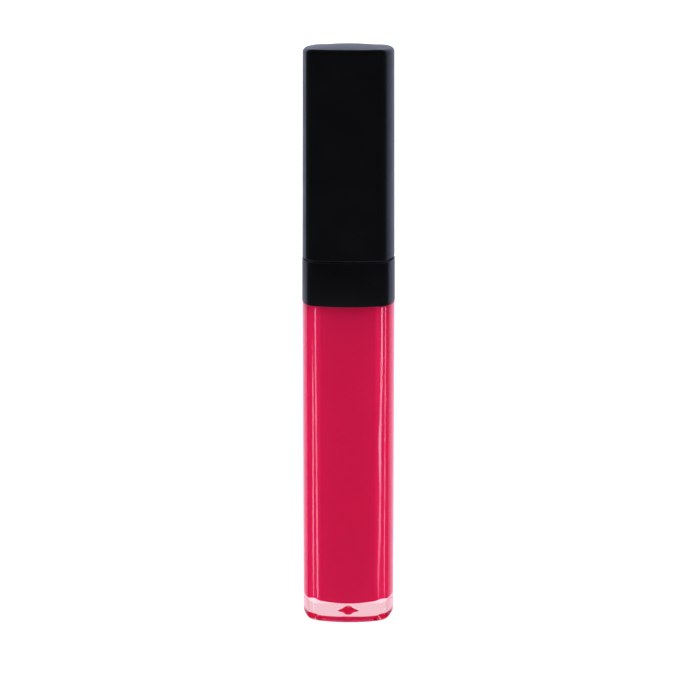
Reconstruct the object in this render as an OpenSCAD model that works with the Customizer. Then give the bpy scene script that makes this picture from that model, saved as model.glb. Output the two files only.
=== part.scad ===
// Square lip gloss tube. A thick clear bottle with a stepped shoulder and a threaded neck wears
// a short collar. A tall cap screws down over the neck and carries the wand through a wiper.
// Millimetres, +Z up, origin at the centre of the base.

/* [Outline] */
// Width across the flats, at the foot of the collar
tube_w = 18.3; // [17.6:0.05:18.6]
// Height from the base to the crown of the cap
tube_h = 114; // [112:0.5:118]
// Bulge radius of the four side faces
face_r = 18.5; // [17:0.5:24]
// Radius of the four upright corners
corner_r = 2.7; // [2.4:0.1:3]

/* [Bottle] */
// Height of the clear body, from the base to the collar
body_h = 64; // [60:0.5:66]
// How far each side of the body stands in from the collar's foot
body_step = 0.03; // [0.02:0.01:0.15]
// Rounding of the edge round the base
base_edge = 0.7; // [0.4:0.1:0.9]
// Half width of the cavity at the middle of a side
cavity_half = 6; // [5.8:0.1:6.2]
// Bulge radius of the cavity's four sides
cavity_face_r = 30; // [24:1:60]
// Radius of the cavity's upright corners
cavity_corner_r = 0.8; // [0.6:0.1:1.4]
// Rounding of the cavity where its walls meet its floor and roof
cavity_edge = 0.5; // [0.3:0.1:0.8]
// Clear base under the middle of the gloss
floor_t = 2.9; // [2.4:0.1:4]
// Radius of the shallow bowl that the cavity's floor forms
dish_r = 32; // [20:1:60]
// Width of the foot from the side to where the underside begins to rise
foot_w = 1.5; // [1.2:0.1:2]
// Width of the slope from the foot to the raised panel
foot_slope_w = 1.1; // [0.9:0.1:1.5]
// Height of the raised panel under the base
panel_h = 0.78; // [0.5:0.02:1]
// Width of the moulding gate's recess in the panel
gate_d = 4; // [3:0.5:5]
// Depth of the gate recess
gate_depth = 0.86; // [0.6:0.02:1]

/* [Neck and thread] */
// Neck diameter at the root of its thread
neck_d = 10.8; // [10.6:0.1:11]
// Bore of the neck, which grips the wiper
neck_bore = 8; // [7.6:0.1:8.2]
// Outer diameter of the neck's thread
thread_d = 12.4; // [12.2:0.1:12.5]
// Rise of the thread in one turn
thread_pitch = 2.5; // [2.4:0.1:2.6]
// Turns of ridge on the neck, and as many in the cap
thread_turns = 1.3; // [1.1:0.1:1.3]

/* [Collar] */
// Height of the collar
collar_h = 8.5; // [8:0.1:9]
// How far each side of the collar draws in towards its top
collar_draft = 0.05; // [0:0.01:0.1]

/* [Cap] */
// Gap between the collar and the cap's lower rim
seam = 0.38; // [0.3:0.02:0.5]
// How far each side of the cap's lower rim stands in from the collar's foot
cap_step = 0.13; // [0.05:0.01:0.2]
// How far each side of the cap draws in from its rim to its top
cap_draft = 0.19; // [0:0.01:0.24]
// Rounding of the edge round the cap's top
cap_edge = 0.87; // [0.5:0.1:1.1]
// Rise of the crown between the middle of a side and the centre of the top
crown = 0.55; // [0.2:0.05:0.8]
// Wall of the cap's shell at its rim
shell_wall = 1.25; // [1.15:0.05:1.3]
// Where the cap comes to rest about the axis when it is screwed down, in degrees
cap_clock = -3; // [-6:0.5:6]

/* [Wand and wiper] */
// Diameter of the wand's stem
stem_d = 3.8; // [3.4:0.1:3.8]
// Diameter of the flocked tip
tip_d = 4.1; // [3.9:0.1:4.1]
// Length of the flocked tip
tip_l = 13; // [11:0.5:15]
// Room between the tip and the floor of the cavity
tip_gap = 3.8; // [2:0.1:5]
// Hole in the wiper's lip
lip_d = 4.4; // [4.3:0.1:4.6]
// Bore through the gloss in which the wand stands and turns
wand_path_d = 5; // [4.8:0.1:6]

/* [Hidden] */
$fn = 96;

face_steps = 10;      // segments along each bulged side
corner_steps = 8;     // segments round each upright corner
edge_steps = 5;       // rings in each rounded edge
turn_steps = 32;      // segments in one turn of a thread
joint_gap = 0.05;     // running clearance between the wand's pieces
loose_gap = 0.3;      // clearance between pieces that pass each other
seat_gap = 0.05;      // room above and below the loose washer
eps = 0.01;           // how far a cutter runs past the surface that it opens

// Outlines, each as [half width at the middle of a side, side radius, corner radius]
function drawn_in(shape, inset) = [for (size = shape) size - inset];
collar_shape = [tube_w / 2, face_r, corner_r];
body_shape = drawn_in(collar_shape, body_step);
spigot_shape = drawn_in(body_shape, 1.5);
cavity_shape = [cavity_half, cavity_face_r, cavity_corner_r];
cap_rim_shape = drawn_in(collar_shape, cap_step);
cap_top_shape = drawn_in(cap_rim_shape, cap_draft);
shell_bore_shape = drawn_in(cap_rim_shape, shell_wall);

// levels
spigot_top = body_h + 6;
cavity_top = body_h + 1.5;
collar_top = body_h + collar_h;
register_top = collar_top + 0.8;
cap_rim = collar_top + seam;
neck_top = body_h + 20;
wiper_top = neck_top + 0.8;
web_bottom = wiper_top + 1 + 2 * seat_gap;
web_top = web_bottom + 2.5;
head_top = web_top + 8.7;
liner_bottom = register_top + loose_gap;
shell_roof = tube_h - 2.1;
tip_bottom = floor_t + tip_gap;
tip_top = tip_bottom + tip_l;
gloss_top = cavity_top - 0.4;

// round pieces, as radii
neck_r = neck_d / 2;
thread_r = thread_d / 2;
liner_bore_r = thread_r + 0.25;
liner_thread_r = neck_r + 0.3;
liner_r = liner_bore_r + 0.85;
register_r = shell_bore_shape[0] - 0.5;
washer_r = thread_r;
stem_r = stem_d / 2;
tip_r = tip_d / 2;
core_r = tip_r - 0.55;
plug_r = 1;
plug_l = 5.8;
head_r = stem_r + 0.5;

// The cap leaves the thread after this many turns and this rise.
unscrew_turns = 1.5;
unscrew_rise = unscrew_turns * thread_pitch;
bead_top = wiper_top - unscrew_rise;
neck_thread_top = bead_top - 1.45;
neck_thread_start = neck_thread_top - thread_turns * thread_pitch;
liner_thread_start = neck_thread_start - thread_pitch / 2;

// A square with bulged sides and round corners: four side arcs of radius R about points k
// beyond the centre, and four corner arcs of radius r about [c, c] that meet them smoothly.
// b is half the angle of a side arc, up to the point where the two meet.
function turned(p, q) = [p.x * cos(q) - p.y * sin(q), p.x * sin(q) + p.y * cos(q)];
function outline(shape) =
    let (R = shape[1],
         r = shape[2],
         k = R - shape[0],
         c = (sqrt(2 * pow(R - r, 2) - k * k) - k) / 2,
         b = atan2(c, c + k))
    [for (q = [0:90:270])
        each concat(
            [for (i = [0:face_steps])
                let (t = 90 - b + 2 * b * i / face_steps)
                turned([R * cos(t), R * sin(t) - k], q)],
            [for (i = [1:corner_steps - 1])
                let (t = 90 + b + (90 - 2 * b) * i / corner_steps)
                turned([r * cos(t) - c, r * sin(t) + c], q)])];

function ring(shape, z) = [for (p = outline(shape)) [p.x, p.y, z]];

// Rings of a quarter-round edge on a wall of this shape, from the wall's end at level z.
// way is 1 for a top edge and -1 for a bottom one.
function edge_rings(shape, z, radius, way) =
    [for (i = [0:edge_steps])
        let (t = 90 * i / edge_steps)
        ring(drawn_in(shape, radius * (1 - cos(t))), z + way * radius * sin(t))];
function reversed(list) = [for (i = [len(list) - 1:-1:0]) list[i]];

// A closed skin over rings of equal length, from the lowest to the highest.
module skin(rings) {
    n = len(rings[0]);
    top = (len(rings) - 1) * n;
    polyhedron(
        points = [for (ring = rings) each ring],
        faces = concat(
            [[for (i = [0:n - 1]) i]],
            [for (k = [0:len(rings) - 2], i = [0:n - 1])
                let (j = (i + 1) % n)
                [k * n + i, (k + 1) * n + i, (k + 1) * n + j, k * n + j]],
            [[for (i = [n - 1:-1:0]) top + i]]),
        convexity = 4);
}

// An upright prism of one outline between two levels.
module prism(shape, z0, z1) {
    translate([0, 0, z0])
        linear_extrude(z1 - z0)
            polygon(outline(shape));
}

// A right-hand thread ridge of trapezoid section, which fades in and out over its ends.
// root_r is buried in the wall, and crest_r is as far as the ridge reaches from it.
module thread(root_r, crest_r, z_start, phase) {
    steps = round(thread_turns * turn_steps);
    fade = turn_steps / 8;
    root_half = 0.8;
    crest_half = 0.35;
    function height(i) = min(1, (i + 0.3) / fade, (steps - i + 0.3) / fade);
    function section(i) =
        let (angle = phase + 360 * i / turn_steps,
             z = z_start + thread_pitch * i / turn_steps,
             r = root_r + (crest_r - root_r) * (0.35 + 0.65 * height(i)),
             turn = [cos(angle), sin(angle)])
        [[turn.x * root_r, turn.y * root_r, z - root_half],
         [turn.x * r, turn.y * r, z - crest_half],
         [turn.x * r, turn.y * r, z + crest_half],
         [turn.x * root_r, turn.y * root_r, z + root_half]];
    outward = crest_r > root_r;
    end = 4 * steps;
    polyhedron(
        points = [for (i = [0:steps]) each section(i)],
        faces = concat(
            [outward ? [0, 3, 2, 1] : [0, 1, 2, 3]],
            [for (i = [0:steps - 1], j = [0:3])
                let (a = 4 * i + j, b = 4 * i + (j + 1) % 4)
                outward ? [a, b, b + 4, a + 4] : [a, a + 4, b + 4, b]],
            [outward ? [end, end + 1, end + 2, end + 3] : [end, end + 3, end + 2, end + 1]]),
        convexity = 6);
}

// The space inside the bottle's body, which the gloss fills. Its floor is a shallow bowl.
module cavity(top) {
    function dished(ring) =
        [for (p = ring) [p.x, p.y, p.z + (p.x * p.x + p.y * p.y) / (2 * dish_r)]];
    rim = ring(drawn_in(cavity_shape, cavity_edge), floor_t);
    lower_edge = edge_rings(cavity_shape, floor_t + cavity_edge, cavity_edge, -1);
    skin(concat(
        [for (s = [0.1, 0.4, 0.7]) dished([for (p = rim) [s * p.x, s * p.y, p.z]])],
        [for (ring = reversed(lower_edge)) dished(ring)],
        edge_rings(cavity_shape, top - cavity_edge, cavity_edge, 1)));
}

// The hollow under the base: a raised panel with sloping sides, and the gate's recess in it.
module underside() {
    panel_shape = drawn_in(body_shape, foot_w + foot_slope_w);
    slope = foot_slope_w / panel_h;
    skin([ring(drawn_in(body_shape, foot_w - slope), -1), ring(panel_shape, panel_h)]);
    // shares of the recess's radius and depth, from the gate's stub out to the rim
    profile = [[0, 0.84], [0.07, 0.84], [0.17, 1], [0.23, 1], [0.4, 0.62], [0.65, 0.33], [1, 0]];
    translate([0, 0, panel_h])
        rotate_extrude()
            polygon(concat(
                [[0, -0.2]],
                [for (p = profile) [p.x * gate_d / 2, p.y * gate_depth]],
                [[gate_d / 2, -0.2]]));
}

// Clear injection-moulded body with its spigot and threaded neck.
module bottle() {
    color("mistyrose", 0.4)
    difference() {
        union() {
            skin(concat(
                reversed(edge_rings(body_shape, base_edge, base_edge, -1)),
                [ring(body_shape, body_h)]));
            prism(spigot_shape, body_h - 1, spigot_top);
            translate([0, 0, body_h])
                cylinder(r = neck_r, h = neck_top - body_h);
            thread(neck_r - 0.3, thread_r, neck_thread_start, 0);
        }
        cavity(cavity_top);
        translate([0, 0, cavity_top - 1])
            cylinder(d = neck_bore, h = neck_top - cavity_top + 2);
        underside();
    }
}

// Crimson gloss, with the bore that the wand keeps open in it.
module gloss_fill() {
    color("crimson")
    difference() {
        cavity(gloss_top);
        translate([0, 0, tip_bottom - 1])
            cylinder(d = wand_path_d, h = gloss_top);
    }
}

// Soft wiper pressed into the neck, with a flange on the rim and a funnel down to its lip.
module wiper() {
    bore_r = neck_bore / 2;
    lip_r = lip_d / 2;
    color("whitesmoke")
    rotate_extrude()
        polygon([
            [3.2, wiper_top], [3.2, neck_top - 5.5], [lip_r, neck_top - 8],
            [lip_r, neck_top - 10], [lip_r + 0.5, neck_top - 10],
            [lip_r + 0.8, neck_top - 8.4], [bore_r, neck_top - 6.4],
            [bore_r, neck_top], [neck_r - 0.2, neck_top], [neck_r - 0.2, wiper_top]]);
}

// Black collar over the bottle's spigot, with a round register that centres the cap.
module collar() {
    edge = 0.15;
    color("black")
    difference() {
        union() {
            skin([
                ring(drawn_in(collar_shape, edge), body_h),
                ring(collar_shape, body_h + edge),
                ring(drawn_in(collar_shape, collar_draft), collar_top - edge),
                ring(drawn_in(collar_shape, collar_draft + edge), collar_top)]);
            translate([0, 0, collar_top - 1])
                cylinder(r = register_r, h = register_top - collar_top + 1);
        }
        prism(spigot_shape, body_h - 1, spigot_top);
        cylinder(r = neck_r + joint_gap, h = tube_h);
    }
}

// Outer shell of the cap, with its crown and rounded top edge.
module cap_shell() {
    rim_edge = 0.15;
    crown_shape = drawn_in(cap_top_shape, cap_edge);
    color("black")
    rotate([0, 0, cap_clock])
    difference() {
        skin(concat(
            [ring(drawn_in(cap_rim_shape, rim_edge), cap_rim),
             ring(cap_rim_shape, cap_rim + rim_edge)],
            edge_rings(cap_top_shape, tube_h - crown - cap_edge, cap_edge, 1),
            [for (s = [0.85, 0.65, 0.4, 0.1])
                [for (p = s * outline(crown_shape))
                    [p.x, p.y, tube_h - crown * pow(norm(p) / crown_shape[0], 2)]]]));
        prism(shell_bore_shape, cap_rim - 1, shell_roof);
    }
}

// Inner cap that carries the thread, the loose washer and the wand's socket.
module cap_liner() {
    rib_t = 1.2;
    rib_reach = 8.3;
    boss_r = head_r + 1;
    sleeve_top = web_top + 1.5;
    color("dimgray")
    rotate([0, 0, cap_clock])
    difference() {
        union() {
            difference() {
                union() {
                    prism(shell_bore_shape, liner_bottom, liner_bottom + 1.2);
                    translate([0, 0, liner_bottom])
                        cylinder(r = liner_r, h = sleeve_top - liner_bottom);
                }
                translate([0, 0, liner_bottom - 1])
                    cylinder(r = liner_bore_r, h = web_bottom - liner_bottom + 1);
            }
            // bead that keeps the washer in the cap once the cap is off
            translate([0, 0, bead_top - 0.6])
                difference() {
                    cylinder(r = liner_bore_r + 0.3, h = 0.6);
                    translate([0, 0, -eps])
                        cylinder(r = washer_r - 0.35, h = 0.6 + 2 * eps);
                }
            thread(liner_bore_r + 0.3, liner_thread_r, liner_thread_start, -cap_clock);
            translate([0, 0, web_top])
                cylinder(r = boss_r, h = head_top - web_top);
            for (side = [45, 135])
                rotate([0, 0, side])
                    translate([-rib_reach, -rib_t / 2, sleeve_top - 1])
                        cube([2 * rib_reach, rib_t, shell_roof - sleeve_top + 1]);
        }
        translate([0, 0, web_bottom - 1])
            cylinder(r = stem_r + joint_gap, h = 20);
        translate([0, 0, web_top])
            cylinder(r = head_r + joint_gap, h = 20);
        translate([0, 0, head_top])
            cylinder(r = boss_r + loose_gap, h = 1.5);
    }
}

// Loose washer that seals on the wiper's flange and turns free of the cap.
module seal_washer() {
    color("ivory")
    translate([0, 0, wiper_top + seat_gap])
        difference() {
            cylinder(r = washer_r, h = 1);
            translate([0, 0, -eps])
                cylinder(r = stem_r + 0.7, h = 1 + 2 * eps);
        }
}

// Wand's stem, whose head is held in the liner's boss under a snap flange.
module stem() {
    flange_t = 0.9;
    color("gainsboro")
    rotate_extrude()
        polygon([
            [0, tip_top + plug_l + 0.2], [plug_r + joint_gap, tip_top + plug_l + 0.2],
            [plug_r + joint_gap, tip_top], [stem_r, tip_top],
            [stem_r, web_top + joint_gap], [head_r, web_top + joint_gap],
            [head_r, head_top + joint_gap], [head_r + 0.7, head_top + joint_gap],
            [head_r + 0.7, head_top + joint_gap + flange_t],
            [0, head_top + joint_gap + flange_t]]);
}

// Slanted doe-foot shape of radius r, whose skin lies inset inside the outer flock.
module doe_foot(r, inset) {
    nose = 1.4;
    low = tip_bottom + inset;
    difference() {
        rotate_extrude()
            polygon(concat(
                [[0, tip_top - joint_gap], [0, low]],
                [for (i = [1:6])
                    [(r * sin(15 * i)), low + nose * (1 - cos(15 * i))]],
                [[r, tip_top - joint_gap]]));
        // the slanted face, which leaves the nose on the -X side
        translate([-0.5 - inset / cos(17), 0, low - 1])
            rotate([0, 17, 0])
                translate([0, -5, -1])
                    cube([10, 10, 11]);
    }
}

// Flexible core of the applicator, with the plug that holds it in the stem.
module tip_core() {
    color("lightpink")
    rotate([0, 0, cap_clock])
    union() {
        doe_foot(core_r, 0.55);
        translate([0, 0, tip_top - 1])
            cylinder(r = plug_r, h = plug_l + 1);
    }
}

// Nylon flock on the applicator.
module tip_flock() {
    color("lightcoral")
    rotate([0, 0, cap_clock])
    difference() {
        doe_foot(tip_r, 0);
        doe_foot(core_r, 0.55);
        translate([0, 0, tip_top - 1])
            cylinder(r = core_r, h = 2);
    }
}

bottle();
gloss_fill();
wiper();
collar();
cap_shell();
cap_liner();
seal_washer();
stem();
tip_core();
tip_flock();
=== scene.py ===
# %% [markdown]
# # A square lip gloss tube
# The real object is a slim bottle moulded in thick clear plastic and filled with crimson gloss.
# A short black collar hides its shoulder, and a tall black cap screws down over its neck and
# carries the wand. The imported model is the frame: it fixes every size and what moves. This
# notebook adds the looks round it, one piece at a time, and measures each piece it makes.

# %% Load the frame
import math

import bpy
from mathutils import Matrix, Vector


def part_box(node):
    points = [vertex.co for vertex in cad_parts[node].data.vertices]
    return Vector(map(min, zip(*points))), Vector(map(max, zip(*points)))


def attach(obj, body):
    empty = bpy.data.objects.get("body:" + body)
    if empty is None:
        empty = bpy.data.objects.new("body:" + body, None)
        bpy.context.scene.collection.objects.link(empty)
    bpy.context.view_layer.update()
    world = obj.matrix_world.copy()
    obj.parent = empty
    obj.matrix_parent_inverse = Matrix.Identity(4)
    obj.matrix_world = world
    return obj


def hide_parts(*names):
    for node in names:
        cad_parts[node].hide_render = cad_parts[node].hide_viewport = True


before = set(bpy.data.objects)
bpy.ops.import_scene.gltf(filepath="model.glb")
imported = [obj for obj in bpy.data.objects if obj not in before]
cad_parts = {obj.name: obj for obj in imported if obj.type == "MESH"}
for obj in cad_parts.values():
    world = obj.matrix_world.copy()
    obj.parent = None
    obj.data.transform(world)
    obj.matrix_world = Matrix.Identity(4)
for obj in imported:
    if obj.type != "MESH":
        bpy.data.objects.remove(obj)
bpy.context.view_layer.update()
MM = 0.001

# %% [markdown]
# ## The camera
# The tube is seen from a little above, square on but for a degree and a half, with a long lens
# that keeps its sides nearly parallel. The camera aims at a point beside the tube's axis,
# which sets the tube a touch to the right of the middle.

# %% Camera
CAMERA_DISTANCE = 432 * MM
CAMERA_TURN = math.radians(1.4)
CAMERA_RISE = math.radians(11.9)
AIM_HEIGHT = 54.74 * MM
AIM_ASIDE = -0.7 * MM
LENS_MM = 113.76


def make_camera():
    """A camera on a circle round the tube, which looks back at its own aim point."""
    across = Vector((math.cos(CAMERA_TURN), math.sin(CAMERA_TURN), 0))
    aim = across * AIM_ASIDE + Vector((0, 0, AIM_HEIGHT))
    back = Vector((
        math.sin(CAMERA_TURN) * math.cos(CAMERA_RISE),
        -math.cos(CAMERA_TURN) * math.cos(CAMERA_RISE),
        math.sin(CAMERA_RISE)))
    data = bpy.data.cameras.new("camera")
    data.lens = LENS_MM
    data.sensor_width = 36
    data.clip_start = 10 * MM
    camera = bpy.data.objects.new("camera", data)
    camera.location = aim + back * CAMERA_DISTANCE
    camera.rotation_euler = back.to_track_quat("Z", "Y").to_euler()
    bpy.context.scene.collection.objects.link(camera)
    bpy.context.scene.camera = camera
    return camera


camera = make_camera()
print("camera at", [round(v / MM) for v in camera.location], "mm")

# %% [markdown]
# ## Sizes
# The outside of every square piece is the same outline, drawn in a little more or less: four
# bulged sides and four round corners, all arcs. Drawing an arc in only shortens its radius,
# so an outline is three numbers. The half widths and the levels come from the frame.

# %% Sizes
def half_width(node):
    low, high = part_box(node)
    return (high.x - low.x) / 2


def levels(node):
    low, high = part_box(node)
    return low.z, high.z


def drawn_in(shape, inset):
    """An outline [half width, side radius, corner radius] moved inwards by inset."""
    return [size - inset for size in shape]


SIDE_RADIUS = 18.5 * MM
CORNER_RADIUS = 2.7 * MM
SPIGOT_STEP = 1.5 * MM      # from the body's side in to the spigot's
CAP_STEP = 0.13 * MM        # from the collar's side in to the cap's rim
CAP_DRAFT = 0.19 * MM       # how much the cap draws in from rim to crown
SHELL_WALL = 1.25 * MM
REGISTER_HEIGHT = 0.8 * MM
collar_shape = [half_width("collar"), SIDE_RADIUS, CORNER_RADIUS]
body_shape = drawn_in(collar_shape, collar_shape[0] - half_width("bottle"))
cavity_shape = [6.0 * MM, 30 * MM, 0.8 * MM]
spigot_shape = drawn_in(body_shape, SPIGOT_STEP)
cap_rim_shape = drawn_in(collar_shape, CAP_STEP)
cap_top_shape = drawn_in(cap_rim_shape, CAP_DRAFT)
shell_bore_shape = drawn_in(cap_rim_shape, SHELL_WALL)

body_top = levels("collar")[0]
neck_top = levels("bottle")[1]
floor_level = 2.9 * MM
register_top = levels("collar")[1]
collar_top = register_top - REGISTER_HEIGHT
cap_rim, cap_top = levels("cap_shell")
CAP_CLOCK = math.radians(-3)
print("tube", round(2 * collar_shape[0] / MM, 2), "x", round(cap_top / MM, 2), "mm")

# %% [markdown]
# ## Rings and skins
# Each square or round piece is a skin over a stack of rings. A ring is either the square
# outline or a circle, and both have their points at the same angles round the axis, so a skin
# can pass from one to the other, as the bottle does from its square shoulder to its neck.

# %% Rings and skins
SIDE_STEPS = 32
CORNER_STEPS = 16


def arc_places(shape):
    """How far a side's arc is centred beyond the axis, how far out along X and Y a corner's
    arc is centred, and the angle from a side's middle to where it meets a corner."""
    half, side, corner = shape
    beyond = side - half
    centre = (math.sqrt(2 * (side - corner) ** 2 - beyond ** 2) - beyond) / 2
    return beyond, centre, math.atan2(centre, centre + beyond)


def outline(shape):
    """Points of the outline, anticlockwise from the right end of the +Y side."""
    side, corner = shape[1:]
    beyond, centre, meet = arc_places(shape)
    quarter = []
    for i in range(SIDE_STEPS):
        angle = math.pi / 2 - meet + 2 * meet * i / SIDE_STEPS
        quarter.append(Vector((side * math.cos(angle), side * math.sin(angle) - beyond)))
    for i in range(CORNER_STEPS):
        angle = math.pi / 2 + meet + (math.pi / 2 - 2 * meet) * i / CORNER_STEPS
        quarter.append(Vector((corner * math.cos(angle) - centre,
                               corner * math.sin(angle) + centre)))
    points = []
    for turn in range(4):
        points += [Matrix.Rotation(turn * math.pi / 2, 2) @ p for p in quarter]
    return points


ANGLES = [math.atan2(p.y, p.x) for p in outline(collar_shape)]


def square_ring(shape, z):
    """The square outline at level z, with its points at the shared angles."""
    side, corner = shape[1:]
    beyond, centre, meet = arc_places(shape)
    meets_at = math.atan2(side * math.sin(meet), side * math.cos(meet) - beyond)
    ring = []
    for angle in ANGLES:
        off_side = abs((angle + math.pi / 4) % (math.pi / 2) - math.pi / 4)
        if off_side <= meets_at:
            reach = math.sqrt(side ** 2 - (beyond * math.sin(off_side)) ** 2)
            reach -= beyond * math.cos(off_side)
        else:
            off_corner = math.pi / 4 - off_side
            far = centre * math.sqrt(2)
            reach = far * math.cos(off_corner)
            reach += math.sqrt(corner ** 2 - (far * math.sin(off_corner)) ** 2)
        ring.append(Vector((reach * math.cos(angle), reach * math.sin(angle), z)))
    return ring


def round_ring(radius, z):
    return [Vector((radius * math.cos(a), radius * math.sin(a), z)) for a in ANGLES]


def quarter_turns(steps):
    return [math.pi / 2 * i / steps for i in range(steps + 1)]


def square_edge(shape, z, radius, way, steps=8):
    """Rings of a quarter-round edge, from the wall's end at level z to the flat face.
    way is 1 for a top edge and -1 for a bottom one."""
    return [square_ring(drawn_in(shape, radius * (1 - math.cos(a))),
                        z + way * radius * math.sin(a)) for a in quarter_turns(steps)]


def new_piece(name, vertices, faces, sharp=35):
    """A mesh object at the origin, smooth but for the edges sharper than so many degrees."""
    mesh = bpy.data.meshes.new(name)
    mesh.from_pydata(vertices, [], faces)
    mesh.validate()
    mesh.polygons.foreach_set("use_smooth", [True] * len(mesh.polygons))
    mesh.set_sharp_from_angle(angle=math.radians(sharp))
    piece = bpy.data.objects.new(name, mesh)
    bpy.context.scene.collection.objects.link(piece)
    return piece


def skin(name, rings, turn=0.0, sharp=35):
    """A closed skin over rings. A ring of one point is a pole, and with no pole at either end
    the last ring joins the first. turn is about the axis, in radians."""
    spin = Matrix.Rotation(turn, 3, "Z")
    vertices = [spin @ p for ring in rings for p in ring]
    starts = [sum(len(r) for r in rings[:i]) for i in range(len(rings))]
    count = max(len(r) for r in rings)
    pairs = [(i, i + 1) for i in range(len(rings) - 1)]
    if len(rings[0]) > 1 and len(rings[-1]) > 1:
        pairs.append((len(rings) - 1, 0))
    faces = []
    for low, high in pairs:
        a, b = starts[low], starts[high]
        for i in range(count):
            j = (i + 1) % count
            if len(rings[low]) == 1:
                faces.append((a, b + j, b + i))
            elif len(rings[high]) == 1:
                faces.append((a + i, a + j, b))
            else:
                faces.append((a + i, a + j, b + j, b + i))
    return new_piece(name, vertices, faces, sharp)


print(len(ANGLES), "points in a ring")

# %% [markdown]
# ## Nodes
# Trees of shader and geometry nodes are all built with one small function, which adds a node
# with its settings and joins or fills its inputs. Colours are written as sRGB hex values,
# as a paint chart gives them, and one function turns them to the linear values of a shader.

# %% Node and colour helpers
def add_node(tree, kind, inputs=None, **settings):
    """Adds a node. inputs maps a socket's name or number to another node's output or a value."""
    node = tree.nodes.new(kind)
    for name, value in settings.items():
        setattr(node, name, value)
    for key, value in (inputs or {}).items():
        if isinstance(value, bpy.types.NodeSocket):
            tree.links.new(value, node.inputs[key])
        else:
            node.inputs[key].default_value = value
    return node


def colour(code):
    """An sRGB hex value such as #c01844 as linear red, green, blue and alpha."""
    shares = [int(code[i:i + 2], 16) / 255 for i in (1, 3, 5)]
    return [s / 12.92 if s <= 0.04045 else ((s + 0.055) / 1.055) ** 2.4 for s in shares] + [1]


def new_material(name):
    """A material with an empty tree but for its output, and that tree."""
    material = bpy.data.materials.new(name)
    material.use_nodes = True
    material.node_tree.nodes.clear()
    return material, material.node_tree


def per_mm(size_mm):
    """Noise scale, in repeats a metre, of a pattern that repeats at a real size in mm."""
    return 1 / (size_mm * MM)


print("crimson is", [round(c, 3) for c in colour("#c01844")])

# %% [markdown]
# ## Clear plastic
# The bottle is injection moulded in clear copolyester, which looks like thick glass. It bends
# light at an index of 1.52 here, a little under the usual 1.57, and polished tool steel leaves
# it glossy. It has no coat of paint. Its pink tint is painted light: a thin absorption through
# the volume, so a thicker wall looks deeper, stands in for the crimson light that the gloss
# throws into the plastic. A long, shallow waviness in the surface stands for the flow of the
# melt.

# %% Clear plastic
def clear_plastic():
    material, tree = new_material("Clear copolyester, moulded and polished")
    place = add_node(tree, "ShaderNodeTexCoord")
    flow = add_node(tree, "ShaderNodeTexNoise", {
        "Vector": place.outputs["Object"], "Scale": per_mm(14), "Detail": 1.0})
    wave = add_node(tree, "ShaderNodeBump", {
        "Height": flow.outputs["Fac"], "Strength": 0.03, "Distance": 0.1 * MM})
    surface = add_node(tree, "ShaderNodeBsdfPrincipled", {
        "Base Color": (1, 1, 1, 1), "Roughness": 0.015, "IOR": 1.52,
        "Transmission Weight": 1.0, "Normal": wave.outputs["Normal"]})
    # Pink absorption: painted light, standing in for crimson light from the gloss inside the
    # plastic
    volume = add_node(tree, "ShaderNodeVolumeAbsorption", {
        "Color": colour("#fc5e97"), "Density": 30.0})
    add_node(tree, "ShaderNodeOutputMaterial", {
        "Surface": surface.outputs["BSDF"], "Volume": volume.outputs["Volume"]})
    return material


clear_material = clear_plastic()
print("made", clear_material.name)

# %% [markdown]
# ## Gloss
# The gloss is a thick, strongly tinted gel. It wets the plastic, so there is no reflection
# where they meet: its own surface is kept dull, and the shine comes from the bottle in front.
# Light goes a little way in and comes back redder, which is what the subsurface part does.
# Slow swirls, about nine millimetres wide, are left from filling.

# %% Gloss
def gloss():
    material, tree = new_material("Crimson lip gloss gel")
    place = add_node(tree, "ShaderNodeTexCoord")
    swirl = add_node(tree, "ShaderNodeTexNoise", {
        "Vector": place.outputs["Object"], "Scale": per_mm(9), "Detail": 2.0,
        "Distortion": 0.6})
    tint = add_node(tree, "ShaderNodeMix", {
        0: swirl.outputs["Fac"], 6: colour("#e0245c"), 7: colour("#e42760")},
        data_type="RGBA")
    surface = add_node(tree, "ShaderNodeBsdfPrincipled", {
        "Base Color": tint.outputs[2], "Roughness": 0.5, "Specular IOR Level": 0.0,
        "Subsurface Weight": 0.2, "Subsurface Radius": (1.0, 0.1, 0.15),
        "Subsurface Scale": 0.8 * MM})
    add_node(tree, "ShaderNodeOutputMaterial", {"Surface": surface.outputs["BSDF"]})
    return material


gloss_material = gloss()
print("made", gloss_material.name)

# %% [markdown]
# ## Soft-touch lacquer
# Cap and collar are moulded in black plastic and sprayed with a soft-touch lacquer. It is near
# black face on, and a fine, even grain scatters what it reflects, so its rounded edges catch
# the light as a soft grey band. The real grain is a few hundredths of a millimetre, too fine
# to show, and it is drawn here at an eighth of a millimetre.

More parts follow.
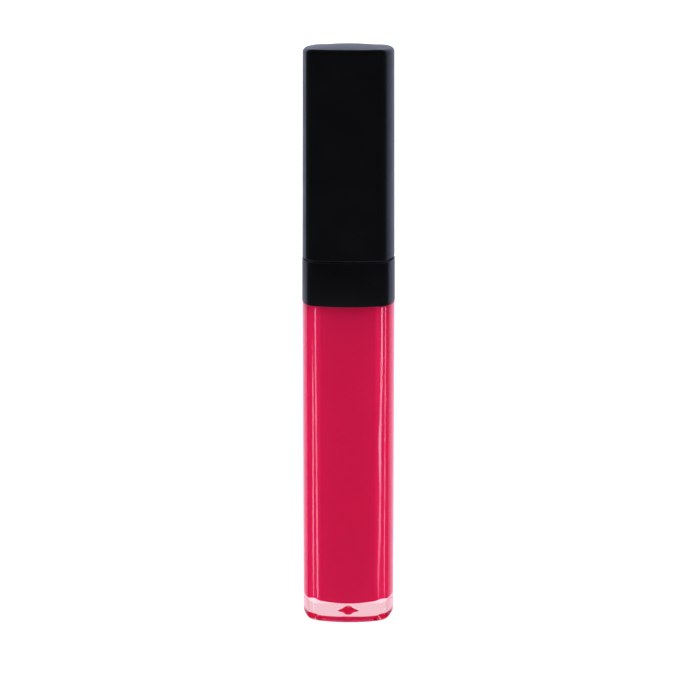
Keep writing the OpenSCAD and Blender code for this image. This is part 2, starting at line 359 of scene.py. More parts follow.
# %% Soft-touch lacquer
def soft_touch():
    material, tree = new_material("Black soft-touch lacquer, sprayed")
    place = add_node(tree, "ShaderNodeTexCoord")
    grain = add_node(tree, "ShaderNodeTexNoise", {
        "Vector": place.outputs["Object"], "Scale": per_mm(0.125), "Detail": 2.0,
        "Roughness": 0.6})
    cloud = add_node(tree, "ShaderNodeTexNoise", {
        "Vector": place.outputs["Object"], "Scale": per_mm(6), "Detail": 3.0})
    rough = add_node(tree, "ShaderNodeMapRange", {
        "Value": cloud.outputs["Fac"], "From Min": 0.3, "From Max": 0.7,
        "To Min": 0.34, "To Max": 0.4})
    tint = add_node(tree, "ShaderNodeMix", {
        0: grain.outputs["Fac"], 6: colour("#030304"), 7: colour("#050506")},
        data_type="RGBA")
    bumps = add_node(tree, "ShaderNodeBump", {
        "Height": grain.outputs["Fac"], "Strength": 0.12, "Distance": 0.02 * MM})
    surface = add_node(tree, "ShaderNodeBsdfPrincipled", {
        "Base Color": tint.outputs[2], "Roughness": rough.outputs["Result"],
        "IOR": 1.5, "Sheen Weight": 0.12, "Sheen Roughness": 0.4,
        "Sheen Tint": colour("#b4bfe6"), "Normal": bumps.outputs["Normal"]})
    add_node(tree, "ShaderNodeOutputMaterial", {"Surface": surface.outputs["BSDF"]})
    return material


soft_touch_material = soft_touch()
print("made", soft_touch_material.name)

# %% [markdown]
# ## The bottle
# The bottle is one skin from the middle of its base, out and up over its sides, shoulder and
# neck, down the bore and round the cavity to the middle of its floor. Clear plastic shows the
# least error in its surface, so each flat or straight wall has an extra ring close to its
# ends, which keeps the rounding of an edge from tilting the light across the whole wall.

# %% Bottle sizes
BASE_EDGE = 0.7 * MM
CAVITY_EDGE = 0.5 * MM
DISH_RADIUS = 32 * MM       # the cavity's floor is a shallow bowl of this radius
FOOT = 1.5 * MM             # from the side to where the underside begins to rise
PANEL = 2.6 * MM            # from the side to the edge of the raised panel
PANEL_HEIGHT = 0.78 * MM
GATE_RADIUS = 2.0 * MM
GATE_DEPTH = 0.86 * MM
# shares of the gate recess's radius and depth, from the gate's stub out to the rim
GATE_PROFILE = [(0.07, 0.84), (0.17, 1), (0.23, 1), (0.4, 0.62), (0.65, 0.33), (1, 0)]
SHOULDER_EDGE = 0.1 * MM
SPIGOT_EDGE = 0.3 * MM
LIP_EDGE = 0.2 * MM
WALL_FOOT = 3 * MM          # from the cavity's floor to where its straight wall begins
HOLD = 0.08 * MM            # how far a holding ring stands from an edge
SLIP = 0.03 * MM            # room between two pieces that fit together
neck_radius = 5.4 * MM
bore_radius = 4.0 * MM
spigot_top = body_top + 6 * MM
cavity_top = body_top + 1.5 * MM
shoulder = body_top - SLIP
THREAD_PITCH = 2.5 * MM
THREAD_TURNS = 1.3
THREAD_START = 76.35 * MM


def wall_rings(shape, low, high, steps=6):
    """Rings up a straight wall, with a holding ring near each end."""
    inner = [low + HOLD + (high - low - 2 * HOLD) * i / steps for i in range(steps + 1)]
    return [square_ring(shape, z) for z in inner]


def round_edge(radius, z, edge, out, way, steps=6):
    """Round rings of a quarter-round edge. It leaves a wall of this radius at level z and
    ends on a flat face. out is 1 where that face is outside the wall and -1 where inside."""
    return [round_ring(radius + out * edge * (1 - math.cos(a)), z + way * edge * math.sin(a))
            for a in quarter_turns(steps)]


def dish_height(point):
    """How far the bowl of the cavity's floor rises from its middle to this point."""
    return (point.x ** 2 + point.y ** 2) / (2 * DISH_RADIUS)


def dish_rings(shape, lowest):
    """Rings of the cavity's floor, from the wall's foot over a small round edge and down the
    bowl to its lowest point in the middle."""
    rings = []
    for ring in square_edge(shape, lowest + CAVITY_EDGE, CAVITY_EDGE, -1):
        rings.append([Vector((p.x, p.y, p.z + dish_height(p))) for p in ring])
    rim = square_ring(drawn_in(shape, CAVITY_EDGE), 0)
    for share in (0.97, 0.85, 0.7, 0.5, 0.3, 0.1):
        rings.append([Vector((share * p.x, share * p.y, 0)) for p in rim])
        for p in rings[-1]:
            p.z = lowest + dish_height(p)
    return rings + [[Vector((0, 0, lowest))]]


def neck_levels():
    """Levels up the neck: a few on the plain wall, and close ones where the thread rises."""
    low, high = THREAD_START - 1.0 * MM, THREAD_START + (THREAD_TURNS + 0.4) * THREAD_PITCH
    count = round((high - low) / (0.1 * MM))
    return ([spigot_top + 1 * MM, spigot_top + 3 * MM]
            + [low + (high - low) * i / count for i in range(count + 1)]
            + [neck_top - 2 * MM, neck_top - LIP_EDGE - HOLD])


def bottle_rings():
    """The bottle's rings in order, from the gate recess under the base to the cavity floor."""
    rings = [[Vector((0, 0, PANEL_HEIGHT + GATE_PROFILE[0][1] * GATE_DEPTH))]]
    for reach, depth in GATE_PROFILE:
        rings.append(round_ring(reach * GATE_RADIUS, PANEL_HEIGHT + depth * GATE_DEPTH))
    gate_rim = rings[-1]
    panel_rim = square_ring(drawn_in(body_shape, PANEL), PANEL_HEIGHT)
    rings += [[a.lerp(b, share) for a, b in zip(gate_rim, panel_rim)]
              for share in (0.05, 0.5, 0.97, 1)]
    rings.append(square_ring(drawn_in(body_shape, FOOT), 0))
    base = square_edge(body_shape, BASE_EDGE, BASE_EDGE, -1)
    rings.append(square_ring(drawn_in(body_shape, BASE_EDGE + HOLD), 0))
    rings += base[::-1]
    rings += wall_rings(body_shape, BASE_EDGE, shoulder - SHOULDER_EDGE)
    rings += square_edge(body_shape, shoulder - SHOULDER_EDGE, SHOULDER_EDGE, 1, steps=3)
    rings.append(square_ring(drawn_in(body_shape, SHOULDER_EDGE + HOLD), shoulder))
    spigot = drawn_in(spigot_shape, SLIP)
    rings.append(square_ring(drawn_in(spigot, -HOLD), shoulder))
    rings.append(square_ring(spigot, shoulder))
    rings += wall_rings(spigot, shoulder, spigot_top - SPIGOT_EDGE, steps=1)
    rings += square_edge(spigot, spigot_top - SPIGOT_EDGE, SPIGOT_EDGE, 1, steps=4)
    rings.append(square_ring(drawn_in(spigot, SPIGOT_EDGE + HOLD), spigot_top))
    fillet = round_edge(neck_radius, spigot_top + SPIGOT_EDGE, SPIGOT_EDGE, 1, -1, steps=4)
    rings += fillet[::-1]
    rings += [round_ring(neck_radius, z) for z in neck_levels()]
    rings += round_edge(neck_radius, neck_top - LIP_EDGE, LIP_EDGE, -1, 1, steps=4)
    rings += [round_ring(bore_radius, neck_top), round_ring(bore_radius, neck_top - HOLD),
              round_ring(bore_radius, cavity_top + HOLD), round_ring(bore_radius, cavity_top)]
    rings.append(square_ring(drawn_in(cavity_shape, CAVITY_EDGE + HOLD), cavity_top))
    roof = square_edge(cavity_shape, cavity_top - CAVITY_EDGE, CAVITY_EDGE, 1)
    rings += roof[::-1]
    rings += wall_rings(cavity_shape, floor_level + WALL_FOOT, cavity_top - CAVITY_EDGE)[::-1]
    rings += dish_rings(cavity_shape, floor_level)
    return rings


print("shoulder at", round(shoulder / MM, 2), "mm")

# %% [markdown]
# ## The thread
# A moulded thread is a ridge that winds up the neck with one rise a turn. It could be swept
# along a spiral and joined on, but in clear plastic the joint would show. Here a Geometry Nodes
# tree pushes the neck's own wall outwards instead. At each point it finds the nearest turn of
# the spiral from the angle and the height, and lifts the point by the ridge's section there.

# %% Thread tree
def thread_tree(material):
    """Geometry nodes that raise a thread from a round wall, with its sizes as inputs."""
    tree = bpy.data.node_groups.new("raise_thread", "GeometryNodeTree")
    face = tree.interface
    face.new_socket("Geometry", in_out="INPUT", socket_type="NodeSocketGeometry")
    for name in ("Wall Radius", "Crest Height", "Start", "Pitch", "Turns",
                 "Root Half Width", "Crest Half Width"):
        face.new_socket(name, in_out="INPUT", socket_type="NodeSocketFloat")
    face.new_socket("Geometry", in_out="OUTPUT", socket_type="NodeSocketGeometry")
    given = add_node(tree, "NodeGroupInput").outputs
    place = add_node(tree, "GeometryNodeInputPosition").outputs["Position"]
    parts = add_node(tree, "ShaderNodeSeparateXYZ", {0: place}).outputs
    math_node = "ShaderNodeMath"
    angle = add_node(tree, math_node, {0: parts["Y"], 1: parts["X"]}, operation="ARCTAN2")
    part_turn = add_node(tree, math_node, {0: angle.outputs[0], 1: 2 * math.pi},
                         operation="DIVIDE")
    above = add_node(tree, math_node, {0: parts["Z"], 1: given["Start"]},
                     operation="SUBTRACT")
    turns_up = add_node(tree, math_node, {0: above.outputs[0], 1: given["Pitch"]},
                        operation="DIVIDE")
    whole = add_node(tree, math_node, {0: turns_up.outputs[0], 1: part_turn.outputs[0]},
                     operation="SUBTRACT")
    nearest = add_node(tree, math_node, {0: whole.outputs[0]}, operation="ROUND")
    along = add_node(tree, math_node, {0: nearest.outputs[0], 1: part_turn.outputs[0]},
                     operation="ADD")
    off_turns = add_node(tree, math_node, {0: turns_up.outputs[0], 1: along.outputs[0]},
                         operation="SUBTRACT")
    off = add_node(tree, math_node, {0: off_turns.outputs[0], 1: given["Pitch"]},
                   operation="MULTIPLY")
    aside = add_node(tree, math_node, {0: off.outputs[0]}, operation="ABSOLUTE")
    section = add_node(tree, "ShaderNodeMapRange", {
        "Value": aside.outputs[0], "From Min": given["Crest Half Width"],
        "From Max": given["Root Half Width"], "To Min": 1.0, "To Max": 0.0},
        interpolation_type="SMOOTHSTEP")
    left = add_node(tree, math_node, {0: given["Turns"], 1: along.outputs[0]},
                    operation="SUBTRACT")
    to_end = add_node(tree, math_node, {0: along.outputs[0], 1: left.outputs[0]},
                      operation="MINIMUM")
    fade = add_node(tree, "ShaderNodeMapRange", {
        "Value": to_end.outputs[0], "From Min": 0.0, "From Max": 0.12},
        interpolation_type="SMOOTHSTEP")
    share = add_node(tree, math_node, {0: section.outputs[0], 1: fade.outputs[0]},
                     operation="MULTIPLY")
    height = add_node(tree, math_node, {0: share.outputs[0], 1: given["Crest Height"]},
                      operation="MULTIPLY")
    flat = add_node(tree, "ShaderNodeCombineXYZ", {0: parts["X"], 1: parts["Y"]})
    reach = add_node(tree, "ShaderNodeVectorMath", {0: flat.outputs[0]}, operation="LENGTH")
    outwards = add_node(tree, "ShaderNodeVectorMath", {0: flat.outputs[0]},
                        operation="NORMALIZE")
    push = add_node(tree, "ShaderNodeVectorMath", {
        0: outwards.outputs[0], "Scale": height.outputs[0]}, operation="SCALE")
    on_wall = add_node(tree, "FunctionNodeCompare", {
        "A": reach.outputs["Value"], "B": given["Wall Radius"], "Epsilon": 0.01 * MM},
        data_type="FLOAT", operation="EQUAL")
    moved = add_node(tree, "GeometryNodeSetPosition", {
        "Geometry": given["Geometry"], "Selection": on_wall.outputs[0],
        "Offset": push.outputs[0]})
    real = add_node(tree, "GeometryNodeRealizeInstances", {0: moved.outputs[0]})
    painted = add_node(tree, "GeometryNodeSetMaterial", {
        "Geometry": real.outputs[0], "Material": material})
    add_node(tree, "NodeGroupOutput", {0: painted.outputs[0]})
    return tree


def grown(piece, tree, sizes):
    """Turns the piece into what its nodes make of it, as a plain mesh. sizes maps the names
    of inputs to values."""
    nodes = piece.modifiers.new("nodes", "NODES")
    nodes.node_group = tree
    for item in tree.interface.items_tree:
        if item.in_out == "INPUT" and item.name in sizes:
            nodes[item.identifier] = sizes[item.name]
    evaluated = piece.evaluated_get(bpy.context.evaluated_depsgraph_get())
    mesh = bpy.data.meshes.new_from_object(evaluated)
    piece.modifiers.clear()
    piece.data = mesh


bottle = skin("clear_bottle", bottle_rings())
grown(bottle, thread_tree(clear_material), {
    "Wall Radius": neck_radius, "Crest Height": 0.8 * MM, "Start": THREAD_START,
    "Pitch": THREAD_PITCH, "Turns": THREAD_TURNS, "Root Half Width": 0.8 * MM,
    "Crest Half Width": 0.35 * MM})
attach(bottle, "bottle")
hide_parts("bottle")
print("bottle:", len(bottle.data.polygons), "faces")

# %% [markdown]
# ## The gloss
# The gloss takes the shape of the cavity. Its skin is set a few hundredths of a millimetre into
# the wall, so light in the plastic meets the gloss first, with no film of air between them,
# which is how a wetted wall looks. The bore that the wand leaves in it is kept.

# %% Gloss body
WETTING = 0.03 * MM
CHANNEL_RADIUS = 2.5 * MM
channel_floor = levels("tip_flock")[0] - 1 * MM


def gloss_rings():
    shape = drawn_in(cavity_shape, -WETTING)
    low, high = floor_level - WETTING, levels("gloss_fill")[1]
    rings = dish_rings(shape, low)[::-1]
    rings += wall_rings(shape, low + WALL_FOOT, high - CAVITY_EDGE)
    rings += square_edge(shape, high - CAVITY_EDGE, CAVITY_EDGE, 1)
    rings += [round_ring(CHANNEL_RADIUS, high), round_ring(CHANNEL_RADIUS, high - HOLD),
              round_ring(CHANNEL_RADIUS, channel_floor + HOLD),
              round_ring(CHANNEL_RADIUS, channel_floor), [Vector((0, 0, channel_floor))]]
    return rings


filling = skin("gloss", gloss_rings())
filling.data.materials.append(gloss_material)
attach(filling, "bottle")
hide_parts("gloss_fill")
print("gloss:", len(filling.data.polygons), "faces")

# %% [markdown]
# ## Collar and cap
# Both are square sleeves in the same lacquer, drawn in slightly towards the top so that they
# leave their moulds. The cap's crown is a shallow dome that the rounded top edge runs into.
# The cap comes to rest three degrees past square, where its thread tightens.

# %% Collar and cap shell
RIM_EDGE = 0.15 * MM
COLLAR_DRAFT = 0.05 * MM
register_radius = shell_bore_shape[0] - 0.5 * MM
CAP_EDGE = 0.87 * MM
CROWN = 0.55 * MM
ROOF = 2.1 * MM             # from the roof inside the shell to the top of its crown
REGISTER_EDGE = 0.1 * MM
shell_roof = cap_top - ROOF


def collar_rings():
    """Up the outside from the foot, over the register, and down inside to the foot again."""
    inside = drawn_in(spigot_shape, -SLIP)
    top_shape = drawn_in(collar_shape, COLLAR_DRAFT)
    rings = [square_ring(inside, body_top), square_ring(drawn_in(collar_shape, 0.4 * MM),
                                                        body_top)]
    rings += square_edge(collar_shape, body_top + RIM_EDGE, RIM_EDGE, -1, steps=4)[::-1]
    rings += square_edge(top_shape, collar_top - RIM_EDGE, RIM_EDGE, 1, steps=4)
    rings += round_edge(register_radius, collar_top + REGISTER_EDGE, REGISTER_EDGE, 1, -1,
                        steps=2)[::-1]
    rings += round_edge(register_radius, register_top - REGISTER_EDGE, REGISTER_EDGE, -1, 1,
                        steps=2)
    rings += [round_ring(neck_radius + 0.05 * MM, z) for z in (register_top, spigot_top + SLIP)]
    rings.append(square_ring(inside, spigot_top + SLIP))
    return rings


def cap_rings():
    """From the middle of the roof inside, down to the rim and up outside to the crown."""
    rings = [[Vector((0, 0, shell_roof))]]
    rings += [square_ring(shell_bore_shape, shell_roof), square_ring(shell_bore_shape, cap_rim)]
    rings += square_edge(cap_rim_shape, cap_rim + RIM_EDGE, RIM_EDGE, -1, steps=4)[::-1]
    edge_low = cap_top - CROWN - CAP_EDGE
    rings += [square_ring(cap_rim_shape, cap_rim + RIM_EDGE + HOLD)]
    rings += [square_ring(cap_top_shape, edge_low - HOLD)]
    rings += square_edge(cap_top_shape, edge_low, CAP_EDGE, 1, steps=10)
    crown_shape = drawn_in(cap_top_shape, CAP_EDGE)
    rim = square_ring(crown_shape, 0)
    for share in (0.93, 0.85, 0.75, 0.65, 0.5, 0.35, 0.2, 0.08):
        rings.append([Vector((share * p.x, share * p.y, cap_top - CROWN
                              * share ** 2 * p.length_squared / crown_shape[0] ** 2))
                      for p in rim])
    rings.append([Vector((0, 0, cap_top))])
    return rings


collar = skin("collar_sleeve", collar_rings())
shell = skin("cap_outer", cap_rings(), turn=CAP_CLOCK)
for piece, body, node in ((collar, "bottle", "collar"), (shell, "cap", "cap_shell")):
    piece.data.materials.append(soft_touch_material)
    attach(piece, body)
    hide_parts(node)
    print(piece.name, len(piece.data.polygons), "faces")

# %% [markdown]
# ## Inner plastics
# Four plastics hide inside the tube. The wiper is soft polyethylene, milky because light
# scatters in it. The wand's stem is natural polypropylene, a little clearer and stiffer. The
# cap's liner is the same plastic dyed black, with the faint satin of a bead-blasted mould, and
# the applicator's core is a pink elastomer. One function mixes them from what differs: colour,
# roughness, how deep light goes, and the size of the surface's texture.

# %% Inner plastics
def moulded(name, low, high, roughness, texture_mm, relief_mm, depth_mm=0.0, ior=1.5):
    """A moulded plastic. low and high are the two colours that its fine mottling mixes."""
    material, tree = new_material(name)
    place = add_node(tree, "ShaderNodeTexCoord")
    mottle = add_node(tree, "ShaderNodeTexNoise", {
        "Vector": place.outputs["Object"], "Scale": per_mm(texture_mm), "Detail": 3.0})
    tint = add_node(tree, "ShaderNodeMix", {
        0: mottle.outputs["Fac"], 6: colour(low), 7: colour(high)}, data_type="RGBA")
    rough = add_node(tree, "ShaderNodeMapRange", {
        "Value": mottle.outputs["Fac"], "To Min": roughness - 0.05,
        "To Max": roughness + 0.05})
    relief = add_node(tree, "ShaderNodeBump", {
        "Height": mottle.outputs["Fac"], "Strength": 0.3, "Distance": relief_mm * MM})
    surface = add_node(tree, "ShaderNodeBsdfPrincipled", {
        "Base Color": tint.outputs[2], "Roughness": rough.outputs["Result"], "IOR": ior,
        "Normal": relief.outputs["Normal"]})
    if depth_mm:
        surface.inputs["Subsurface Weight"].default_value = 1.0
        surface.inputs["Subsurface Radius"].default_value = (1, 1, 0.9)
        surface.inputs["Subsurface Scale"].default_value = depth_mm * MM
    add_node(tree, "ShaderNodeOutputMaterial", {"Surface": surface.outputs["BSDF"]})
    return material


wiper_material = moulded("Natural low-density polyethylene, moulded", "#ece9e4", "#f4f2ee",
                         0.38, 0.9, 0.01, depth_mm=0.8)
stem_material = moulded("Natural polypropylene, moulded", "#e6e3df", "#efedea",
                        0.28, 1.4, 0.008, depth_mm=1.0)
liner_material = moulded("Black polypropylene, satin mould", "#0d0d0e", "#161617",
                         0.42, 0.25, 0.01)
core_material = moulded("Pink thermoplastic elastomer", "#dca7a7", "#e6b6b4", 0.5, 0.5, 0.01,
                        depth_mm=0.5)
print("made four inner plastics")

# %% [markdown]
# ## Foam and flock
# The washer is punched from expanded polyethylene sheet, whose closed cells show as shallow
# pits about a third of a millimetre across. The applicator is flocked: short nylon fibres
# stand on a coat of glue, dyed a dusty pink and stained by the gloss, darkest towards the tip.

# %% Foam and flock
def washer_foam():
    material, tree = new_material("Expanded polyethylene foam, punched")
    place = add_node(tree, "ShaderNodeTexCoord")
    cells = add_node(tree, "ShaderNodeTexVoronoi", {
        "Vector": place.outputs["Object"], "Scale": per_mm(0.35)})
    tint = add_node(tree, "ShaderNodeMix", {
        0: cells.outputs["Distance"], 6: colour("#f2f0ea"), 7: colour("#d9d6cd")},
        data_type="RGBA")
    pits = add_node(tree, "ShaderNodeBump", {
        "Height": cells.outputs["Distance"], "Strength": 0.6, "Distance": 0.06 * MM})
    surface = add_node(tree, "ShaderNodeBsdfPrincipled", {
        "Base Color": tint.outputs[2], "Roughness": 0.6, "Normal": pits.outputs["Normal"]})
    add_node(tree, "ShaderNodeOutputMaterial", {"Surface": surface.outputs["BSDF"]})
    return material


def nylon_flock(low, high):
    """Flock between two levels, stained more towards the lower one."""
    material, tree = new_material("Nylon flock wetted with gloss")
    place = add_node(tree, "ShaderNodeTexCoord")
    parts = add_node(tree, "ShaderNodeSeparateXYZ", {0: place.outputs["Object"]})
    height = add_node(tree, "ShaderNodeMapRange", {
        "Value": parts.outputs["Z"], "From Min": low, "From Max": high,
        "To Min": 0.15, "To Max": 0.85})
    clump = add_node(tree, "ShaderNodeTexNoise", {
        "Vector": place.outputs["Object"], "Scale": per_mm(0.8), "Detail": 3.0})
    stain = add_node(tree, "ShaderNodeMath", {
        0: height.outputs["Result"], 1: clump.outputs["Fac"]}, operation="MULTIPLY")
    tint = add_node(tree, "ShaderNodeMix", {
        0: stain.outputs[0], 6: colour("#a81440"), 7: colour("#e0919c")}, data_type="RGBA")
    surface = add_node(tree, "ShaderNodeBsdfPrincipled", {
        "Base Color": tint.outputs[2], "Roughness": 0.55, "Sheen Weight": 0.3,
        "Sheen Roughness": 0.5})
    add_node(tree, "ShaderNodeOutputMaterial", {"Surface": surface.outputs["BSDF"]})
    return material


foam_material = washer_foam()
flock_material = nylon_flock(*levels("tip_flock"))
print("made", foam_material.name, "and", flock_material.name)

# %% [markdown]
# ## Turned pieces
# Wiper, washer and stem are round all the way, so each is its own profile turned about the
# axis: a list of radius and height in millimetres, out along the bottom, up the outside, in
# over the top and down the inside. The wiper is pressed into the neck, so it is set a hair
# into the plastic, as the gloss is.

# %% Turned pieces
def turned(name, profile, material, body, node):
    """A piece turned from a profile of (radius, height) in mm. A radius of 0 is a pole."""
    rings = [round_ring(r * MM, z * MM) if r else [Vector((0, 0, z * MM))]
             for r, z in profile]
    piece = skin(name, rings)
    piece.data.materials.append(material)
    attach(piece, body)
    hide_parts(node)
    print(name, len(piece.data.polygons), "faces")


turned("wiper_plug", [
    (2.3, 74), (2.6, 74), (2.7, 74.1), (3.0, 75.6), (3.96, 77.5), (4.02, 77.7), (4.02, 83.98),
    (5.1, 83.98), (5.2, 84.08), (5.2, 84.7), (5.1, 84.8), (3.3, 84.8), (3.2, 84.7),
    (3.2, 78.6), (3.16, 78.4), (2.24, 76.1), (2.2, 75.9), (2.2, 74.1)],
    wiper_material, "bottle", "wiper")
turned("foam_washer", [
    (2.7, 84.85), (6.1, 84.85), (6.2, 84.95), (6.2, 85.75), (6.1, 85.85), (2.7, 85.85),
    (2.6, 85.75), (2.6, 84.95)],
    foam_material, "washer", "seal_washer")
turned("wand_stem", [
    (0, 25.7), (1.05, 25.7), (1.05, 19.78), (1.13, 19.7), (1.75, 19.7), (1.86, 19.74),
    (1.9, 19.85), (1.9, 20), (1.9, 40), (1.9, 60), (1.9, 80), (1.9, 88.45), (2.4, 88.45),
    (2.4, 97.15), (3.0, 97.15), (3.1, 97.25), (3.1, 97.85), (2.9, 98.05), (0, 98.05)],
    stem_material, "stem", "stem")
for node, material in (("cap_liner", liner_material), ("tip_core", core_material)):
    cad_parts[node].data.materials.clear()
    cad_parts[node].data.materials.append(material)

# %% [markdown]
# ## The flocked applicator
# The applicator is a doe-foot: a rod with a rounded nose and a long slanted face that lays the
# gloss on. Its mat is a skin over level sections, each a circle cut off by the slant, with
# the corner between them eased. Fibres stand on the mat. They could be hair, but hair is not
# a mesh, so a tree scatters thin cones on the mat's faces, tilts them at random and keeps
# them short enough to stay inside the space that the tip may take in the wiper. The mat's top
# stays bare, because the stem sits on it. Real fibres are finer and closer than these cones.

# %% Applicator mat
TIP_RADIUS = 2.05 * MM
FIBRE_LENGTH = 0.32 * MM
FIBRE_RADIUS = 0.025 * MM   # at the root
NOSE = 1.4 * MM
SLANT = math.tan(math.radians(17))
SLANT_DROP = 1 * MM         # the slant's plane passes this far below the nose,
SLANT_BACK = 0.5 * MM       # this far behind the axis
tip_low, tip_high = levels("tip_flock")


def mat_rings(inset, count=48):
    """Sections of the doe-foot from its nose upwards, drawn in from the flock's outside."""
    reach, nose = TIP_RADIUS - inset, NOSE
    low, high = tip_low + inset, tip_high - 0.1 * MM

    def section(height):
        """The radius of a level section, and where on X the slant cuts it off."""
        radius = reach * math.sqrt(1 - max(0, 1 - height / nose) ** 2)
        cut = (height + SLANT_DROP) * SLANT - SLANT_BACK - inset / math.cos(math.atan(SLANT))
        return radius, min(cut, radius * 0.999)

    lowest = next(h for h in (nose * i / 500 for i in range(500)) if sum(section(h)) > 0)
    heights = [lowest + (nose - lowest) * (1 - math.cos(a)) for a in quarter_turns(10)[1:]]
    heights += [nose + (high - low - nose) * i / 30 for i in range(1, 31)]
    rings = []
    for height in heights:
        radius, cut = section(height)
        middle = (cut - radius) / 2
        ring = []
        for i in range(count):
            a = 2 * math.pi * i / count
            far = math.sqrt(radius ** 2 - (middle * math.sin(a)) ** 2) - middle * math.cos(a)
            if math.cos(a) > 0.001:
                plane = (cut - middle) / math.cos(a)
                far = (far ** -8 + plane ** -8) ** (-1 / 8)
            ring.append(Vector((middle + far * math.cos(a), far * math.sin(a), low + height)))
        rings.append(ring)
    start = Vector((section(lowest)[1], 0, low + lowest))
    end = sum(rings[-1], Vector()) / count
    return [[start]] + rings + [[Vector((end.x, 0, high))]]


mat = skin("flocked_tip", mat_rings(FIBRE_LENGTH), turn=CAP_CLOCK, sharp=60)
print("mat:", len(mat.data.polygons), "faces")

# %% Fibres
def fibre_tree(material):
    """Geometry nodes that stand fibres on a mat and keep the mat under them."""
    tree = bpy.data.node_groups.new("stand_fibres", "GeometryNodeTree")
    face = tree.interface
    face.new_socket("Geometry", in_out="INPUT", socket_type="NodeSocketGeometry")
    for name in ("Density", "Length", "Thickness", "Tilt"):
        face.new_socket(name, in_out="INPUT", socket_type="NodeSocketFloat")
    face.new_socket("Seed", in_out="INPUT", socket_type="NodeSocketInt")
    face.new_socket("Geometry", in_out="OUTPUT", socket_type="NodeSocketGeometry")
    given = add_node(tree, "NodeGroupInput").outputs
    facing = add_node(tree, "GeometryNodeInputNormal").outputs["Normal"]
    upwards = add_node(tree, "ShaderNodeSeparateXYZ", {0: facing}).outputs["Z"]
    takes_fibres = add_node(tree, "FunctionNodeCompare", {
        "A": upwards, "B": 0.5}, data_type="FLOAT", operation="LESS_THAN")
    spread = add_node(tree, "GeometryNodeDistributePointsOnFaces", {
        "Mesh": given["Geometry"], "Selection": takes_fibres.outputs[0],
        "Density": given["Density"], "Seed": given["Seed"]})
    fibre = add_node(tree, "GeometryNodeMeshCone", {
        "Vertices": 4, "Radius Top": 0.0, "Radius Bottom": given["Thickness"],
        "Depth": given["Length"]})
    lean_back = add_node(tree, "ShaderNodeMath", {0: given["Tilt"], 1: -1.0},
                         operation="MULTIPLY")
    least = add_node(tree, "ShaderNodeCombineXYZ", {
        0: lean_back.outputs[0], 1: lean_back.outputs[0], 2: 0.0})
    most = add_node(tree, "ShaderNodeCombineXYZ", {
        0: given["Tilt"], 1: given["Tilt"], 2: 2 * math.pi})
    lean = add_node(tree, "FunctionNodeRandomValue", {
        0: least.outputs[0], 1: most.outputs[0], "Seed": given["Seed"]},
        data_type="FLOAT_VECTOR")
    turn = add_node(tree, "FunctionNodeRotateRotation", {
        0: spread.outputs["Rotation"], 1: lean.outputs[0]}, rotation_space="LOCAL")
    size = add_node(tree, "FunctionNodeRandomValue", {
        2: 0.6, 3: 1.0, "Seed": given["Seed"]}, data_type="FLOAT")
    fibres = add_node(tree, "GeometryNodeInstanceOnPoints", {
        "Points": spread.outputs["Points"], "Instance": fibre.outputs["Mesh"],
        "Rotation": turn.outputs[0], "Scale": size.outputs[1]})
    real = add_node(tree, "GeometryNodeRealizeInstances", {0: fibres.outputs[0]})
    joined = add_node(tree, "GeometryNodeJoinGeometry", {0: real.outputs[0]})
    tree.links.new(given["Geometry"], joined.inputs[0])
    painted = add_node(tree, "GeometryNodeSetMaterial", {
        "Geometry": joined.outputs[0], "Material": material})
    add_node(tree, "NodeGroupOutput", {0: painted.outputs[0]})
    return tree


grown(mat, fibre_tree(flock_material), {
    "Density": 60 / MM ** 2, "Length": FIBRE_LENGTH, "Thickness": FIBRE_RADIUS,
    "Tilt": math.radians(20), "Seed": 7})
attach(mat, "cap")
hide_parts("tip_flock")
print("tip:", len(mat.data.polygons), "faces with fibres")

# %% [markdown]
# ## Floor, backdrop and light
# The tube stands on a light table, a sheet of opal acrylic lit from beneath, which throws no
# shadow, and the air behind it is white too. The light is soft. White panels stand behind and
# overhead to the sides, and what lies in front is dark, as when a product is shot from
# behind a black card. That keeps a black cap black and the front of a clear bottle free of
# reflections. A few narrow strips draw the bright lines down the bottle's corners, and two
# broad red ones behind it warm its rims. Both kinds shine on the bottle and the gloss alone.

# %% Floor
def floor_material():
    material, tree = new_material("Opal acrylic light table")
    place = add_node(tree, "ShaderNodeTexCoord")
    cloud = add_node(tree, "ShaderNodeTexNoise", {
        "Vector": place.outputs["Object"], "Scale": per_mm(40), "Detail": 2.0})
    tint = add_node(tree, "ShaderNodeMix", {
        0: cloud.outputs["Fac"], 6: colour("#b9b9b9"), 7: colour("#c1c1c1")},
        data_type="RGBA")
    surface = add_node(tree, "ShaderNodeBsdfPrincipled", {
        "Base Color": tint.outputs[2], "Roughness": 0.9, "Specular IOR Level": 0.1,
        "Emission Color": (1, 1, 1, 1), "Emission Strength": 0.95})
    add_node(tree, "ShaderNodeOutputMaterial", {"Surface": surface.outputs["BSDF"]})
    return material


def make_floor(reach, drop):
    mesh = bpy.data.meshes.new("floor")
    corners = [(-reach, -reach, -drop), (reach, -reach, -drop), (reach, reach, -drop),
               (-reach, reach, -drop)]
    mesh.from_pydata(corners, [], [(0, 1, 2, 3)])
    mesh.materials.append(floor_material())
    floor = bpy.data.objects.new("floor", mesh)
    bpy.context.scene.collection.objects.link(floor)
    floor.visible_glossy = False
    return floor


floor = make_floor(reach=8.0, drop=0.05 * MM)
print("floor", floor.dimensions.x, "m wide")

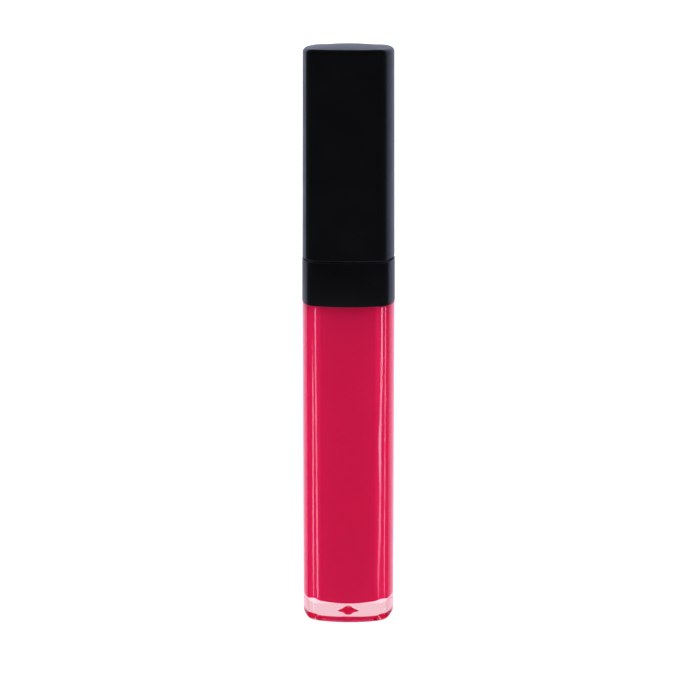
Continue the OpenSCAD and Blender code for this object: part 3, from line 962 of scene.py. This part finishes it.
# %% Backdrop and lights
def make_world():
    """A white room to the camera and through the plastic. In reflections it is dark but for
    a soft white panel straight behind and white beneath, and what lights the gloss comes
    from behind and from overhead to the sides."""
    world = bpy.data.worlds.new("studio")
    bpy.context.scene.world = world
    world.use_nodes = True
    tree = world.node_tree
    tree.nodes.clear()
    way = add_node(tree, "ShaderNodeTexCoord").outputs["Generated"]
    parts = add_node(tree, "ShaderNodeSeparateXYZ", {0: way}).outputs
    ray = add_node(tree, "ShaderNodeLightPath").outputs
    panel = add_node(tree, "ShaderNodeMapRange", {
        "Value": parts["Y"], "From Min": 0.65, "From Max": 1.0,
        "To Min": 0.004, "To Max": 1.15}, interpolation_type="SMOOTHSTEP")
    beneath = add_node(tree, "ShaderNodeMapRange", {
        "Value": parts["Z"], "From Min": -0.4, "From Max": -0.75,
        "To Min": 0.0, "To Max": 1.0}, interpolation_type="SMOOTHSTEP")
    reflected = add_node(tree, "ShaderNodeMath", {
        0: panel.outputs[0], 1: beneath.outputs[0]}, operation="ADD")
    mirrored = add_node(tree, "ShaderNodeBackground", {
        "Color": colour("#d4d9f4"), "Strength": reflected.outputs[0]})
    behind = add_node(tree, "ShaderNodeMapRange", {
        "Value": parts["Y"], "From Min": -0.6, "From Max": 0.2,
        "To Min": 0.09, "To Max": 1.0}, interpolation_type="SMOOTHSTEP")
    aside = add_node(tree, "ShaderNodeMath", {0: parts["X"], 1: parts["X"]},
                     operation="MULTIPLY")
    overhead = add_node(tree, "ShaderNodeMapRange", {
        "Value": parts["Z"], "From Min": 0.05, "From Max": 0.5,
        "To Min": 0.0, "To Max": 6.6}, interpolation_type="SMOOTHSTEP")
    around = add_node(tree, "ShaderNodeMath", {
        0: aside.outputs[0], 1: overhead.outputs[0], 2: behind.outputs[0]},
        operation="MULTIPLY_ADD")
    lights_gloss = add_node(tree, "ShaderNodeMath", {0: ray["Diffuse Depth"], 1: 0.5},
                            operation="GREATER_THAN")
    strength = add_node(tree, "ShaderNodeMix", {
        0: lights_gloss.outputs[0], 2: 0.97, 3: around.outputs[0]})
    room = add_node(tree, "ShaderNodeBackground", {
        "Color": (1, 1, 1, 1), "Strength": strength.outputs[0]})
    plain = add_node(tree, "ShaderNodeBackground", {"Color": (1, 1, 1, 1), "Strength": 1.0})
    fill = add_node(tree, "ShaderNodeBackground", {"Color": (1, 1, 1, 1), "Strength": 0.8})
    lit = add_node(tree, "ShaderNodeMixShader", {
        0: ray["Is Glossy Ray"], 1: fill.outputs[0], 2: mirrored.outputs[0]})
    through = add_node(tree, "ShaderNodeMixShader", {
        0: ray["Is Transmission Ray"], 1: lit.outputs[0], 2: room.outputs[0]})
    both = add_node(tree, "ShaderNodeMixShader", {
        0: ray["Is Camera Ray"], 1: through.outputs[0], 2: plain.outputs[0]})
    add_node(tree, "ShaderNodeOutputWorld", {"Surface": both.outputs[0]})


def strip_light(name, top, foot, width, radiance, tint=(0.5, 0.85, 1.0), distance=0.7):
    """A long soft light that faces the tube and shines on its clear part alone. top and foot
    are its ends, each an azimuth, in degrees from the front to the right, and a level."""
    ends = [Vector((math.sin(math.radians(azimuth)) * distance,
                    -math.cos(math.radians(azimuth)) * distance, level))
            for azimuth, level in (top, foot)]
    middle, along = (ends[0] + ends[1]) / 2, (ends[0] - ends[1]).normalized()
    across = along.cross(Vector((middle.x, middle.y, 0))).normalized()
    data = bpy.data.lights.new(name, "AREA")
    data.shape = "RECTANGLE"
    data.size, data.size_y = width, (ends[0] - ends[1]).length
    data.energy = radiance * math.pi * data.size * data.size_y
    data.color = tint
    light = bpy.data.objects.new(name, data)
    turn = Matrix((across, along, across.cross(along))).transposed()
    light.matrix_world = Matrix.Translation(middle) @ turn.to_4x4()
    light.visible_camera = False
    light.light_linking.receiver_collection = lit_by_strips
    bpy.context.scene.collection.objects.link(light)


make_world()
lit_by_strips = bpy.data.collections.new("lit_by_strips")
for piece in (bottle, filling):
    lit_by_strips.objects.link(piece)
strip_light("left", (-60, -0.1), (-62.5, -0.226), 0.14, 5.0)
strip_light("right", (91, 0.0), (85, -0.226), 0.10, 4.5)
strip_light("left_front", (-43, -0.05), (-39.6, -0.226), 0.025, 5.0)
strip_light("right_front", (45.5, -0.12), (41, -0.175), 0.09, 7.5)
strip_light("right_foot", (41, -0.175), (38.2, -0.222), 0.025, 4.0)
strip_light("right_top", (50, 0.0), (55, -0.12), 0.12, 8.0)
for name, side in (("left_rim", -1), ("right_rim", 1)):
    strip_light(name, (side * 158, 0.1), (side * 158, -0.35), 0.5, 0.5, tint=(1, 0.1, 0.2))
view = bpy.context.scene.view_settings
view.view_transform = "Standard"
view.look = "None"
